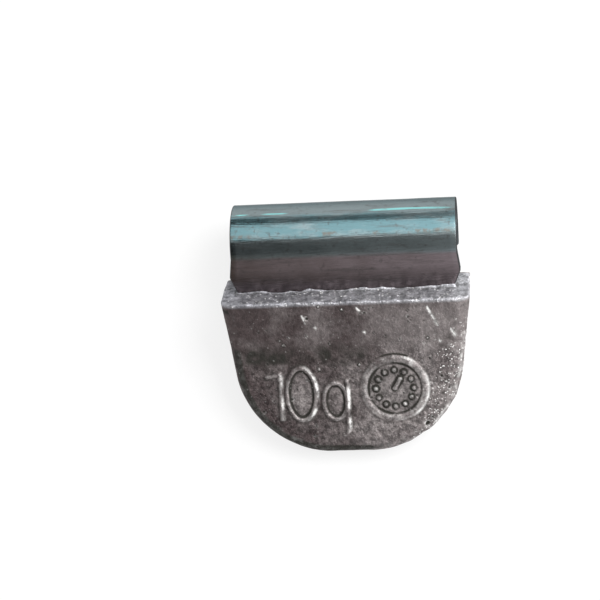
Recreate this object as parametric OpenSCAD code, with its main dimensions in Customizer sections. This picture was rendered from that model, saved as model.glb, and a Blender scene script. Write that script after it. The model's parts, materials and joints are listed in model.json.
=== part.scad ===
// Clip-on wheel balance weight: a cast weight with a folded spring clip cast into its top.
// Both pieces are drawn upright, as they hang on a rim: X runs along the rim, the front
// faces -Y, and Z points up to the clip's crown with the body's ledge at Z = 0.
// The finished weight is then laid on its back, where it rests on its body and its hook.

/* [Cast body] */
// Width of the body along the rim, at the ledge
body_w = 19; // [17:0.2:32]
// Height of the body from its ledge to its toe
body_h = 12.4; // [11:0.2:18]
// Thickness of the body at the ledge
ledge_t = 5.2; // [4.6:0.1:7]
// Thickness of the body at the toe
toe_t = 2.3; // [1.6:0.1:3]
// Radius of the convex back that lies in the rim flange
back_r = 70; // [30:1:120]
// Height of the upright band between the ledge and the crease
band_h = 3.9; // [2:0.1:6]
// Outward lean of the marked face below the crease, in degrees
face_lean = 9; // [1:1:14]
// Radius of the hollow crease between the band and the marked face
crease_r = 6; // [1:0.5:12]
// Inward taper of each side, in degrees
side_taper = 7; // [0:0.5:12]
// Radius of the two lower corners
corner_r = 7; // [4:0.2:7.4]
// Radius of the rounded front edges
edge_r = 1; // [0.4:0.1:1.4]
// Mean radius of the plain raised ring on the marked face
ring_r = 2.3; // [1.6:0.1:2.5]
// Width of the raised ring at its foot
ring_w = 0.7; // [0.4:0.05:0.9]
// Height of the raised ring above the marked face
ring_h = 0.25; // [0.1:0.05:0.4]
// Place of the ring's centre along the rim
ring_x = 3.75; // [2.6:0.1:6]

/* [Spring clip] */
// Width of the clip at its foot
clip_w = 17.6; // [12:0.1:30]
// Thickness of the clip's sheet
sheet_t = 0.8; // [0.6:0.1:1.2]
// Depth of the ledge left in front of the clip
ledge_front = 2.2; // [1.4:0.1:3]
// Straight rise of the clip above the ledge
clip_rise = 2.7; // [1.4:0.1:5]
// Inner radius of the hook's bend
bend_r = 2.3; // [1.8:0.1:4]
// Inward lean of the free tail that grips the rim, in degrees
grip_lean = 8; // [0:1:14]
// Straight length of the free tail
tail_l = 2; // [1:0.1:5]
// Narrowing of each side of the clip from its foot to its bend
crown_inset = 0.2; // [0:0.05:0.6]
// Chamfer of the tail's two corners
tail_chamfer = 0.9; // [0.3:0.1:1.4]

/* [Cast-in root] */
// Depth of the clip's root leg inside the body
root_l = 6; // [5:0.2:6.4]
// Shoulder on each side, where the clip narrows to its root
shoulder_w = 0.5; // [0.2:0.1:1.5]
// Height of the chamfered shoulder above the ledge
shoulder_h = 1.2; // [0.6:0.1:1.4]
// Diameter of each anchor hole that the cast metal fills
anchor_d = 2.6; // [1.6:0.1:3.2]
// Spacing of the anchor holes along the root
anchor_pitch = 5; // [4:0.5:8]
// Depth of the anchor holes' centres below the ledge
anchor_depth = 3.5; // [2.4:0.1:4]

/* [Hidden] */
$fn = 96;
form_fn = 32;
crease_steps = 4;
margin = 1;

// Draft of the raised ring's sides, in degrees, and its rise above the middle of its face
ring_draft = 30;
ring_rise = 0.75;

// Distances behind the front band of the sheet's back and of the hook's bend
sheet_back = ledge_front + sheet_t;
bend_y = sheet_back + bend_r;
bend_z = clip_rise;
hook_r = bend_r + sheet_t;
bend_w = clip_w - 2 * crown_inset;

// The marked face leans out below the crease, and the toe's thickness is measured behind it
face_out = (body_h - band_h) * tan(face_lean);
toe_y = toe_t - face_out;

// The back is an arc from the ledge to the toe, given by its middle turn and half its sweep
back_run = ledge_t - toe_y;
back_turn = -atan2(back_run, body_h);
back_sweep = asin(norm([back_run, body_h]) / 2 / back_r);
back_y = ledge_t - back_r * cos(back_turn + back_sweep);
back_z = -back_r * sin(back_turn + back_sweep);
function on_back(turn) = [back_y + back_r * cos(turn), back_z + back_r * sin(turn)];

// The tail's outer corner touches the ground, and so does the part of the back that the
// straight line from that corner meets first
tail_end = [bend_y + hook_r * cos(grip_lean) - tail_l * sin(grip_lean),
            bend_z - hook_r * sin(grip_lean) - tail_l * cos(grip_lean)];
function lean_to(p) = atan2(tail_end.x - p.x, tail_end.y - p.y);
rest_tilt = min([for (turn = [-back_sweep : 0.25 : back_sweep]) lean_to(on_back(back_turn + turn)),
                 lean_to([toe_y, -body_h])]);

// Seen from above after it is laid down: how far the crown and the toe reach, and the lift
crown_reach = bend_y * sin(rest_tilt) + bend_z * cos(rest_tilt) + hook_r;
front_lean = atan2(face_out, body_h);
toe_ball = [(edge_r - body_h) * tan(front_lean) + edge_r / cos(front_lean), edge_r - body_h];
toe_reach = toe_ball.x * sin(rest_tilt) + toe_ball.y * cos(rest_tilt) - edge_r;
lay_y = -(crown_reach + toe_reach) / 2;
lay_z = tail_end.x * cos(rest_tilt) - tail_end.y * sin(rest_tilt);

// Lays the upright weight on its back, centred over the ground
module laid() {
    translate([0, lay_y, lay_z]) rotate([rest_tilt - 90, 0, 0]) children();
}

// Draws a side view, given as [depth behind the band, height], out across a width
module across(width) {
    rotate([90, 0, 90]) linear_extrude(width, center = true) children();
}

// Draws a front view, given as [along the rim, height], back from a depth
module facing(depth, thickness) {
    translate([0, depth + thickness, 0]) rotate([90, 0, 0]) linear_extrude(thickness) children();
}

// Front view of the body, set in from its outline by the radius of its edges. Each corner
// has a flat facet along the toe, so that the toe's edge on the ground is as long as it can be
module body_outline(inset) {
    corner_x = body_w / 2 + (corner_r - body_h) * tan(side_taper) - corner_r / cos(side_taper);
    top_x = body_w / 2 + body_h * tan(side_taper) - inset / cos(side_taper);
    hull() {
        translate([-top_x, body_h]) square([2 * top_x, margin]);
        for (side = [-1, 1]) translate([side * corner_x, corner_r - body_h]) rotate(180 / form_fn)
            circle((corner_r - inset) / cos(180 / form_fn), $fn = form_fn);
    }
}

// The body's plain wedge with its edges rounded, before the mould's details are cut
module pillowed_wedge() {
    top = edge_r + margin;
    top_front = edge_r / cos(front_lean) + top * tan(front_lean);
    minkowski() {
        intersection() {
            across(2 * body_w) polygon([[ledge_t + margin, top], [top_front, top], toe_ball,
                                        [ledge_t + margin, toe_ball.y]]);
            facing(-body_h, 2 * body_h) body_outline(edge_r);
        }
        sphere(edge_r, $fn = form_fn);
    }
}

// Side view of what is clear in front of the body: upright band, hollow crease, marked face
module front_relief() {
    run = crease_r * tan(face_lean / 2);
    crease = [for (step = [0 : crease_steps])
        let (turn = -face_lean * step / crease_steps)
        [crease_r * cos(turn) - crease_r, crease_r * sin(turn) + run - band_h]];
    face_end = [-2 * body_h * sin(face_lean), -2 * body_h * cos(face_lean) - band_h];
    polygon(concat([[0, margin]], crease, [face_end, [-body_h, margin]]));
}

// Side view of what the mould's back and the flat as-cast ledge leave
module back_section() {
    intersection() {
        translate([back_y, back_z]) circle(back_r, $fn = 8 * $fn);
        translate([-body_h, -body_h - margin]) square([2 * body_h, body_h + margin]);
    }
}

// Stands a plain form on the marked face, at a distance down the face from the crease
module on_face(x, down) {
    translate([x, -down * sin(face_lean), -band_h - down * cos(face_lean)])
        rotate([90 - face_lean, 0, 0]) children();
}

// The raised ring, with drafted sides, a little above the middle of the marked face
module raised_ring() {
    foot = ring_w / 2;
    crest = foot - ring_h * tan(ring_draft);
    on_face(ring_x, (body_h - band_h) / 2 / cos(face_lean) - ring_rise)
        rotate_extrude() translate([ring_r, 0])
            polygon([[-foot, -ring_h], [foot, -ring_h], [foot, 0],
                     [crest, ring_h], [-crest, ring_h], [-foot, 0]]);
}

// The body's form before the clip takes its place: pillowed front, flat ledge, arched back
module cast_form() {
    intersection() {
        difference() {
            pillowed_wedge();
            across(2 * body_w) front_relief();
        }
        across(2 * body_w) back_section();
    }
}

// The flat blank of the clip's front leg: root, chamfered shoulders and rise
module leg_blank() {
    root_w = clip_w - 2 * shoulder_w;
    difference() {
        polygon([[-root_w / 2, -root_l], [root_w / 2, -root_l], [root_w / 2, 0],
                 [clip_w / 2, shoulder_h], [bend_w / 2, clip_rise], [-bend_w / 2, clip_rise],
                 [-clip_w / 2, shoulder_h], [-root_w / 2, 0]]);
        for (x = [-anchor_pitch, 0, anchor_pitch]) translate([x, -anchor_depth]) circle(d = anchor_d);
    }
}

// The flat blank of the free tail, hanging from its bend line, with its corners cropped
module tail_blank() {
    polygon([[-bend_w / 2, 0], [bend_w / 2, 0], [bend_w / 2, tail_chamfer - tail_l],
             [bend_w / 2 - tail_chamfer, -tail_l], [tail_chamfer - bend_w / 2, -tail_l],
             [-bend_w / 2, tail_chamfer - tail_l]]);
}

// The spring clip, folded from one strip: root and rise, the hook's bend and the free tail
module folded_clip() {
    facing(ledge_front, sheet_t) leg_blank();
    translate([0, bend_y, bend_z]) {
        rotate([90, 0, 90]) rotate(-grip_lean) rotate_extrude(angle = 180 + grip_lean)
            translate([bend_r, -bend_w / 2]) square([sheet_t, bend_w]);
        rotate([-grip_lean, 0, 0]) facing(bend_r, sheet_t) tail_blank();
    }
}

module cast_body() {
    color([0.42, 0.40, 0.40]) laid() difference() {
        union() {
            cast_form();
            raised_ring();
        }
        folded_clip();
    }
}

module clip() {
    color([0.50, 0.60, 0.63]) laid() folded_clip();
}

cast_body();
clip();
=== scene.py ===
"""Clip-on wheel balance weight: as-cast body, folded spring clip, finishes and studio.

The weight is described upright, as it hangs on a rim: x runs along the rim, y goes back
from the front band, z goes up from the ledge, in millimetres. ``Lay`` carries it to the
frame, in metres, where it lies on its back.
"""
from __future__ import annotations

import json
import logging
import math
from dataclasses import dataclass, field
from enum import Enum
from typing import Any

import bpy
import numpy as np
from mathutils import Matrix, Vector

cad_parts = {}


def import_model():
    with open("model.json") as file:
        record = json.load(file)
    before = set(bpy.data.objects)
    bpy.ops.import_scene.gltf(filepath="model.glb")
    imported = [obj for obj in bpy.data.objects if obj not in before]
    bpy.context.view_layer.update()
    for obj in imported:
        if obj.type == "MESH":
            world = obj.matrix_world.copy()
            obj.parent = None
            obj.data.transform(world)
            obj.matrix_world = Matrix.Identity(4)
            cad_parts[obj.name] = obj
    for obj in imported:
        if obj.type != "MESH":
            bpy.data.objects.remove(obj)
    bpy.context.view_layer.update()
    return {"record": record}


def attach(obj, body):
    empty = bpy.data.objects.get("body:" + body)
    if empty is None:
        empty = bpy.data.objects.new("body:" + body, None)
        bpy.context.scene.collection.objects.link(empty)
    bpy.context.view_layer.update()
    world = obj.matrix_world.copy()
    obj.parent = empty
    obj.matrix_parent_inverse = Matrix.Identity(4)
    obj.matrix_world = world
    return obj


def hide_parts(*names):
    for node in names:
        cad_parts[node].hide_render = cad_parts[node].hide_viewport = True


LOG = logging.getLogger("balance_weight")
MM = 0.001
ROOT_BODY = "root"
WHITE = (1.0, 1.0, 1.0, 1.0)
Colour = tuple[float, float, float, float]
Texture = tuple[float, float, float]
Socket = bpy.types.NodeSocket


@dataclass(frozen=True)
class WeightSizes:
    """Sizes of the weight in millimetres and degrees, as the construction has them."""

    body_w: float = 19.0
    body_h: float = 12.4
    ledge_t: float = 5.2
    toe_t: float = 2.3
    back_r: float = 70.0
    band_h: float = 3.9
    face_lean: float = 9.0
    crease_r: float = 6.0
    side_taper: float = 7.0
    corner_r: float = 7.0
    edge_r: float = 1.0
    clip_w: float = 17.6
    sheet_t: float = 0.8
    ledge_front: float = 2.2
    clip_rise: float = 2.7
    bend_r: float = 2.3
    grip_lean: float = 8.0
    tail_l: float = 2.0
    crown_inset: float = 0.2
    tail_chamfer: float = 0.9
    root_l: float = 6.0
    shoulder_w: float = 0.5
    shoulder_h: float = 1.2

    @property
    def bend_y(self) -> float:
        """Depth of the hook's bend axis behind the front band."""
        return self.ledge_front + self.sheet_t + self.bend_r

    @property
    def toe_y(self) -> float:
        """Depth of the back of the toe behind the front band."""
        return self.toe_t - (self.body_h - self.band_h) * math.tan(math.radians(self.face_lean))

    @property
    def back_turn(self) -> float:
        """Turn of the middle of the back's arc, in radians from straight back."""
        return -math.atan2(self.ledge_t - self.toe_y, self.body_h)

    @property
    def back_sweep(self) -> float:
        """Half of the turn that the back's arc sweeps, in radians."""
        return math.asin(math.hypot(self.ledge_t - self.toe_y, self.body_h) / 2 / self.back_r)

    @property
    def back_centre(self) -> tuple[float, float]:
        """Centre of the back's arc, as depth and height."""
        turn = self.back_turn + self.back_sweep
        return (self.ledge_t - self.back_r * math.cos(turn), -self.back_r * math.sin(turn))

    @property
    def rest_tilt(self) -> float:
        """Tilt of the front band above the ground when the weight lies on its back, in radians."""
        lean = math.radians(self.grip_lean)
        hook_r = self.bend_r + self.sheet_t
        tail_y = self.bend_y + hook_r * math.cos(lean) - self.tail_l * math.sin(lean)
        tail_z = self.clip_rise - hook_r * math.sin(lean) - self.tail_l * math.cos(lean)
        turns = self.back_turn + np.linspace(-self.back_sweep, self.back_sweep, 60)
        depths = self.back_centre[0] + self.back_r * np.cos(turns)
        heights = self.back_centre[1] + self.back_r * np.sin(turns)
        return float(np.min(np.arctan2(tail_y - depths, tail_z - heights)))


class Lay:
    """Carries points of the upright weight, in millimetres, to the frame, in metres."""

    def __init__(self, sizes: WeightSizes, record: dict[str, Any]) -> None:
        """Reads where the hook's bend axis lies in the frame.

        Args:
            sizes: sizes of the weight.
            record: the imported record, which holds the rim grip's place.
        """
        grip = next(mount for mount in record["mounts"] if mount["name"] == "rim_grip")
        self.tilt = sizes.rest_tilt
        self.anchor = np.array(grip["pos_m"], dtype=float)
        self.axis_at = np.array([0.0, sizes.bend_y, sizes.clip_rise])

    def to_frame(self, points: np.ndarray) -> np.ndarray:
        """Turns and moves points to the frame.

        Args:
            points: rows of upright x, y, z in millimetres.

        Returns:
            Rows of frame x, y, z in metres.
        """
        x, y, z = (np.asarray(points, dtype=float) - self.axis_at).T
        sin, cos = math.sin(self.tilt), math.cos(self.tilt)
        turned = np.stack([x, y * sin + z * cos, z * sin - y * cos], axis=1)
        return turned * MM + self.anchor


class LatticeNoise:
    """Smooth seeded noise on a repeating lattice, for waves and roughness of a casting."""

    SIZE = 32

    def __init__(self, seed: int, cell: float) -> None:
        """Draws the lattice.

        Args:
            seed: fixed seed of the random draw.
            cell: spacing of the lattice in millimetres.
        """
        rng = np.random.default_rng(seed)
        self.values = rng.uniform(-1.0, 1.0, (self.SIZE,) * 3)
        self.cell = cell

    def __call__(self, points: np.ndarray) -> np.ndarray:
        """Samples the noise.

        Args:
            points: rows of x, y, z in millimetres.

        Returns:
            One value from -1 to 1 for each row.
        """
        place = points / self.cell
        base = np.floor(place).astype(int)
        share = place - base
        share = share * share * (3.0 - 2.0 * share)
        total = np.zeros(len(points))
        for corner in np.ndindex(2, 2, 2):
            step = np.array(corner)
            weight = np.prod(np.where(step == 1, share, 1.0 - share), axis=1)
            at = (base + step) % self.SIZE
            total += weight * self.values[at[:, 0], at[:, 1], at[:, 2]]
        return total


def round_max(first: np.ndarray, second: np.ndarray, radius: float | np.ndarray) -> np.ndarray:
    """Intersects two distance fields with a rounded edge.

    Args:
        first: distances to one form.
        second: distances to the other.
        radius: radius of the edge between them.

    Returns:
        Distances to what the two forms share.
    """
    over_first = np.maximum(first + radius, 0.0)
    over_second = np.maximum(second + radius, 0.0)
    return np.minimum(np.maximum(first, second), -radius) + np.hypot(over_first, over_second)


def soft_min(first: np.ndarray, second: np.ndarray, blend: float) -> np.ndarray:
    """Joins two distance fields with a soft fillet.

    Args:
        first: distances to one form.
        second: distances to the other.
        blend: width over which the two flow together.

    Returns:
        Distances to the joined form.
    """
    share = np.clip(0.5 + 0.5 * (second - first) / blend, 0.0, 1.0)
    return second + (first - second) * share - blend * share * (1.0 - share)


def ramp_up(values: np.ndarray, start: float, end: float) -> np.ndarray:
    """Ramps values evenly from 0 at the start to 1 at the end."""
    return np.clip((values - start) / (end - start), 0.0, 1.0)


def nearness(values: np.ndarray, middle: float, reach: float, full: float) -> np.ndarray:
    """Tells how near values lie to a middle, from 0 beyond the reach to 1 close by."""
    return np.clip(full - np.abs(values - middle) / reach, 0.0, 1.0)


class MarkStyle(Enum):
    """How the strokes of a raised mark are cut in the mould."""

    FIGURE = "figure"
    RING = "ring"
    PIP = "pip"

    @property
    def flatness(self) -> float:
        """How much lower than wide the stroke's round section is."""
        return {"figure": 0.75, "ring": 1.5, "pip": 0.8}[self.value]


@dataclass(frozen=True)
class Stroke:
    """One raised stroke on the marked face: points as [along the rim, below the crease]."""

    points: tuple[tuple[float, float], ...]
    radius: float
    style: MarkStyle

    def distance(self, across: np.ndarray, down: np.ndarray) -> np.ndarray:
        """Measures how far points of the face lie from the stroke's centre line.

        Args:
            across: places along the rim.
            down: places below the crease.

        Returns:
            Distances in millimetres.
        """
        nearest = np.full(across.shape, np.inf)
        if len(self.points) == 1:
            return np.hypot(across - self.points[0][0], down - self.points[0][1])
        for start, end in zip(self.points[:-1], self.points[1:]):
            run = (end[0] - start[0], end[1] - start[1])
            length_sq = run[0] ** 2 + run[1] ** 2
            share = ((across - start[0]) * run[0] + (down - start[1]) * run[1]) / length_sq
            share = np.clip(share, 0.0, 1.0)
            gap = np.hypot(across - start[0] - share * run[0], down - start[1] - share * run[1])
            nearest = np.minimum(nearest, gap)
        return nearest


def arc(centre: tuple[float, float], half: tuple[float, float], turn: tuple[float, float],
        count: int) -> tuple[tuple[float, float], ...]:
    """Lays points along an oval arc.

    Args:
        centre: middle of the oval.
        half: half of the oval's size along each axis.
        turn: first and last turn in degrees, from the first axis towards the second.
        count: number of points.

    Returns:
        The points, as pairs along the two axes.
    """
    turns = np.radians(np.linspace(turn[0], turn[1], count))
    return tuple((centre[0] + half[0] * math.cos(t), centre[1] + half[1] * math.sin(t)) for t in turns)


@dataclass(frozen=True)
class MassMark:
    """The raised mass mark: ten grams, as plain figures and a unit."""

    stroke_r: float = 0.19
    one_x: float = -5.27
    one_top: float = 1.95
    flag: tuple[float, float] = (1.0, 0.22)
    nought_x: float = -3.66
    unit_x: float = -1.06
    top: float = 1.5
    foot: float = 5.65
    nought_half: float = 1.13
    bowl_half: float = 0.92
    bowl_top: float = 2.75
    tail_foot: float = 6.9
    hook: tuple[float, float] = (0.45, 0.5)
    one_lift: float = 0.15
    stem_lift: float = 0.1

    def strokes(self) -> list[Stroke]:
        """Returns the strokes of the two figures and of the unit."""
        middle = (self.top + self.foot) / 2
        tall = (self.foot - self.top) / 2
        bowl_middle = (self.bowl_top + self.foot) / 2
        bowl_tall = (self.foot - self.bowl_top) / 2
        stem_x = self.unit_x + self.bowl_half
        one = ((self.one_x - self.flag[0], self.one_top + self.flag[1]), (self.one_x, self.one_top),
               (self.one_x, self.foot - self.one_lift))
        hook_y = self.tail_foot - self.hook[1]
        hook = arc((stem_x - self.hook[0], hook_y), self.hook, (0, 75), 6)
        stem = ((stem_x, self.bowl_top - self.stem_lift), (stem_x, hook_y)) + hook
        nought = arc((self.nought_x, middle), (self.nought_half, tall), (0, 360), 40)
        bowl = arc((self.unit_x, bowl_middle), (self.bowl_half, bowl_tall), (0, 360), 32)
        return [Stroke(shape, self.stroke_r, MarkStyle.FIGURE) for shape in (one, nought, bowl, stem)]

    def wells(self, across: np.ndarray, down: np.ndarray) -> np.ndarray:
        """Tells which points lie inside the nought or the unit's bowl."""
        found = np.zeros(across.shape, dtype=bool)
        ovals = ((self.nought_x, self.nought_half, self.top), (self.unit_x, self.bowl_half, self.bowl_top))
        for centre, half, top in ovals:
            tall = (self.foot - top) / 2
            found |= ((across - centre) / half) ** 2 + ((down - top - tall) / tall) ** 2 < 1.0
        return found


@dataclass(frozen=True)
class MouldDial:
    """A plain raised ring with pips and a pointer, as mould makers use for a date clock."""

    centre: tuple[float, float] = (3.5, 3.3)
    ring_r: float = 2.36
    ring_stroke: float = 0.29
    pip_r: float = 0.17
    pip_circle: float = 1.45
    pips: int = 12
    pointer_l: float = 0.85
    pointer_turn: float = -60.0

    def strokes(self) -> list[Stroke]:
        """Returns the ring, its pips and its pointer."""
        ring = Stroke(arc(self.centre, (self.ring_r,) * 2, (0, 360), 56), self.ring_stroke, MarkStyle.RING)
        spots = arc(self.centre, (self.pip_circle,) * 2, (0, 360), self.pips + 1)[:-1]
        pips = [Stroke((spot,), self.pip_r, MarkStyle.PIP) for spot in spots]
        turn = math.radians(self.pointer_turn)
        middle_x, middle_y = self.centre
        tip = (middle_x + self.pointer_l * math.cos(turn), middle_y + self.pointer_l * math.sin(turn))
        pointer = Stroke((self.centre, tip), self.pip_r, MarkStyle.FIGURE)
        return [ring, pointer] + pips


@dataclass(frozen=True)
class CastSkin:
    """As-cast flaws of the body in millimetres: waves, ragged edges, pits and scratches."""

    seed: int = 41
    wave_cell: float = 2.6
    wave: float = 0.035
    rough_cell: float = 0.55
    rough: float = 0.014
    edge_r: float = 0.16
    ragged: float = 0.09
    ragged_cell: float = 0.7
    ledge_drop: float = 0.2
    corner_fill: float = 0.6
    patch_cell: float = 0.9
    pit_count: int = 55
    pit_r: tuple[float, float] = (0.03, 0.09)
    nib_count: int = 26
    nib_r: tuple[float, float] = (0.05, 0.12)
    rough_side: float = 6.3
    crumb_density: float = 8.5e6
    crumb_r: float = 0.072
    nick_depth: float = 0.04
    nicks: tuple[tuple[float, float, float, float, float], ...] = (
        (-3.25, -1.15, -3.0, -1.85, 0.07), (0.85, -0.5, 1.1, -0.85, 0.07), (1.4, -2.65, 1.43, -2.68, 0.09),
        (6.2, -0.7, 6.95, -2.25, 0.065), (-2.3, -2.15, -2.25, -2.2, 0.06), (7.05, -3.5, 7.1, -3.6, 0.08),
        (7.9, -2.5, 8.2, -3.1, 0.06))
    hole: tuple[float, float, float] = (5.9, -10.1, 0.2)
    flaw_reach: float = 0.4
    pit_blend: float = 0.04
    nib_blend: float = 0.05
    foot_reach: float = 0.7
    foot_gap: float = 0.05
    foot_climb: tuple[float, float] = (0.02, 0.16)
    foot_blend: float = 0.22
    side_lean: float = 0.35
    side_fade: float = 1.6
    side_top: float = 1.5


@dataclass(frozen=True)
class CoatBands:
    """Where the casting's coats, painted shade and painted highlights lie, in millimetres.

    A band is its middle, its reach and its fullness; a fade is where it starts and where it is full.
    """

    crease: tuple[float, float, float] = (0.6, 0.9, 1.2)
    crease_fade: tuple[float, float] = (2.4, -0.1)
    # rim: painted shade along the left and lower rim.
    rim: tuple[float, float, float] = (-0.55, 0.26, 1.3)
    rim_fade: tuple[float, float] = (-3.5, -6.0)
    # under_ledge_shade: painted shade in a strip under the ledge's edge.
    under_ledge_shade: tuple[float, float, float] = (-0.72, 0.22, 1.2)
    # mark_foot_shade: painted shade around the feet of the raised marks.
    mark_foot_shade: tuple[float, float, float] = (0.05, 0.13, 1.2)
    # flank_highlight: painted highlight on the right flanks of the marks; flank_fade and flank_step shape it.
    flank_highlight: tuple[float, float, float] = (-0.08, 0.12, 1.3)
    flank_fade: tuple[float, float] = (-6.2, -4.7)
    flank_step: float = 0.06
    # lip_highlight: painted highlight along the lower right rim.
    lip_highlight: tuple[float, float, float] = (-0.3, 0.22, 1.1)
    lip_fade: tuple[float, float] = (3.0, 7.0)
    raised: tuple[float, float] = (0.0, 0.2)
    figured: tuple[float, float] = (0.0, 0.8)
    dial_fade: float = 0.4
    marks_top: float = 0.8
    beside_mark: float = 0.5
    edge_reach: float = 0.12


@dataclass
class CastBody:
    """The cast weight: pillowed front, ledge, arched back, raised marks and as-cast flaws."""

    sizes: WeightSizes
    lay: Lay
    mass_mark: MassMark = field(default_factory=MassMark)
    dial: MouldDial = field(default_factory=MouldDial)
    skin: CastSkin = field(default_factory=CastSkin)
    bands: CoatBands = field(default_factory=CoatBands)
    step: float = 0.1
    mark_blend: float = 0.13
    mark_sink: float = 0.05
    mark_reach: float = 0.9
    room: float = 0.4
    front_room: float = 1.5
    top_room: float = 0.8

    def __post_init__(self) -> None:
        """Prepares the noise fields and the scattered flaws."""
        self.waves = LatticeNoise(self.skin.seed, self.skin.wave_cell)
        self.roughness = LatticeNoise(self.skin.seed + 1, self.skin.rough_cell)
        self.ragged = LatticeNoise(self.skin.seed + 2, self.skin.ragged_cell)
        self.patches = LatticeNoise(self.skin.seed + 3, self.skin.patch_cell)
        self.strokes = self.mass_mark.strokes() + self.dial.strokes()
        self.pits, self.nibs = self.scatter()

    def face_frame(self, points: np.ndarray) -> tuple[np.ndarray, np.ndarray]:
        """Measures points against the leaning marked face.

        Args:
            points: rows of upright x, y, z.

        Returns:
            Distance out of the face, and distance down the face from the crease.
        """
        lean = math.radians(self.sizes.face_lean)
        height = points[:, 2] + self.sizes.band_h
        out = height * math.sin(lean) - points[:, 1] * math.cos(lean)
        down = -points[:, 1] * math.sin(lean) - height * math.cos(lean)
        return out, down

    def front(self, points: np.ndarray) -> np.ndarray:
        """Distance field of the front: upright band, hollow crease and marked face."""
        out, _ = self.face_frame(points)
        lean = math.radians(self.sizes.face_lean)
        blend = 2.0 * self.sizes.crease_r * math.tan(lean / 2) * math.sin(lean)
        return soft_min(-points[:, 1], out, blend)

    def outline(self, points: np.ndarray) -> np.ndarray:
        """Distance field of the outline seen from the front, with its round lower corners."""
        taper = math.radians(self.sizes.side_taper)
        half = self.sizes.body_w / 2 + points[:, 2] * math.tan(taper)
        side = (np.abs(points[:, 0]) - half) * math.cos(taper)
        return round_max(side, -points[:, 2] - self.sizes.body_h, self.sizes.corner_r - self.skin.corner_fill)

    def plain_form(self, points: np.ndarray) -> np.ndarray:
        """Distance field of the casting before its marks and flaws."""
        raw = self.skin.edge_r * (1.0 + 0.6 * self.ragged(points))
        centre = self.sizes.back_centre
        back = np.hypot(points[:, 1] - centre[0], points[:, 2] - centre[1]) - self.sizes.back_r
        form = round_max(self.front(points), self.outline(points), self.sizes.edge_r)
        form = round_max(form, back, raw)
        dips = self.ragged(points * (1.6, 1.0, 0.0) + 3.0)
        crest = points[:, 2] + self.skin.ledge_drop * (1.0 + dips) / 2.0
        return round_max(form, crest, raw)

    def scatter(self) -> tuple[np.ndarray, np.ndarray]:
        """Draws seeded places and radii of pits and nibs over the front.

        Returns:
            Rows of x, y, z and radius for the pits, and for the nibs.
        """
        rng = np.random.default_rng(self.skin.seed)
        found = []
        for count, radii in ((self.skin.pit_count, self.skin.pit_r), (self.skin.nib_count, self.skin.nib_r)):
            across = rng.uniform(-0.47, 0.47, count) * self.sizes.body_w
            height = -rng.uniform(0.02, 0.97, count) * self.sizes.body_h
            radius = radii[0] + (radii[1] - radii[0]) * rng.random(count) ** 2
            lean = math.tan(math.radians(self.sizes.face_lean))
            depth = np.minimum(height + self.sizes.band_h, 0.0) * lean
            found.append(np.stack([across, depth, height, radius], axis=1))
        return found[0], found[1]

    def marked(self, form: np.ndarray, points: np.ndarray) -> np.ndarray:
        """Raises the strokes of the marks out of the face.

        Args:
            form: distances to the plain form.
            points: rows of upright x, y, z.

        Returns:
            Distances with the marks joined on.
        """
        out, down = self.face_frame(points)
        near = np.flatnonzero(np.abs(out) < self.mark_reach)
        across, down, out = points[near, 0], down[near], out[near]
        part = form[near]
        for stroke in self.strokes:
            gap = stroke.distance(across, down)
            bead = np.hypot(gap, (out + self.mark_sink) * stroke.style.flatness) - stroke.radius
            part = soft_min(part, bead, self.mark_blend)
        form[near] = part
        return form

    def flawed(self, form: np.ndarray, points: np.ndarray) -> np.ndarray:
        """Sinks the pits, raises the nibs and adds the waves of the casting.

        Args:
            form: distances to the marked form.
            points: rows of upright x, y, z.

        Returns:
            Distances to the casting as it left the mould.
        """
        near = np.flatnonzero(np.abs(form) < self.skin.flaw_reach)
        place, part = points[near], form[near]
        for spot in self.pits:
            gap = np.linalg.norm(place - spot[:3], axis=1)
            part = -soft_min(-part, gap - spot[3], self.skin.pit_blend)
        for spot in self.nibs:
            gap = np.linalg.norm(place - spot[:3], axis=1)
            part = soft_min(part, gap - spot[3], self.skin.nib_blend)
        part = part + self.skin.nick_depth * self.nicked(place)
        out, _ = self.face_frame(place)
        hole_x, hole_z, hole_r = self.skin.hole
        gap = np.sqrt((place[:, 0] - hole_x) ** 2 + (place[:, 2] - hole_z) ** 2 + out ** 2)
        part = -soft_min(-part, gap - hole_r, self.skin.nib_blend)
        part = part + self.skin.wave * (0.6 + self.waves(place)) * 0.6
        coarse = 1.0 + 2.5 * self.coarse_side(place)
        part = part + self.skin.rough * coarse * (0.5 + self.roughness(place))
        form[near] = part
        return form

    def coarse_side(self, points: np.ndarray) -> np.ndarray:
        """Tells how coarse the skin is, from 0 to 1: most at the right and the lower right corner."""
        lean_in = points[:, 0] - self.skin.side_lean * (points[:, 2] + self.sizes.band_h)
        beside = np.clip((lean_in - self.skin.rough_side) / self.skin.side_fade, 0.0, 1.0)
        return beside * np.clip(-points[:, 2] - self.skin.side_top, 0.0, 1.0)

    def nicked(self, points: np.ndarray) -> np.ndarray:
        """Tells how deep points lie in the bright scratches of the front, from 0 to 1."""
        depth = np.zeros(len(points))
        for x0, z0, x1, z1, radius in self.skin.nicks:
            stroke = Stroke(((x0, z0), (x1, z1)), radius, MarkStyle.FIGURE)
            gap = stroke.distance(points[:, 0], points[:, 2]) + 0.05 * self.roughness(points * 2.0)
            depth = np.maximum(depth, np.clip(1.4 - 1.4 * gap / radius, 0.0, 1.0))
        return depth * (points[:, 1] < self.sizes.ledge_t / 4)

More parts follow.
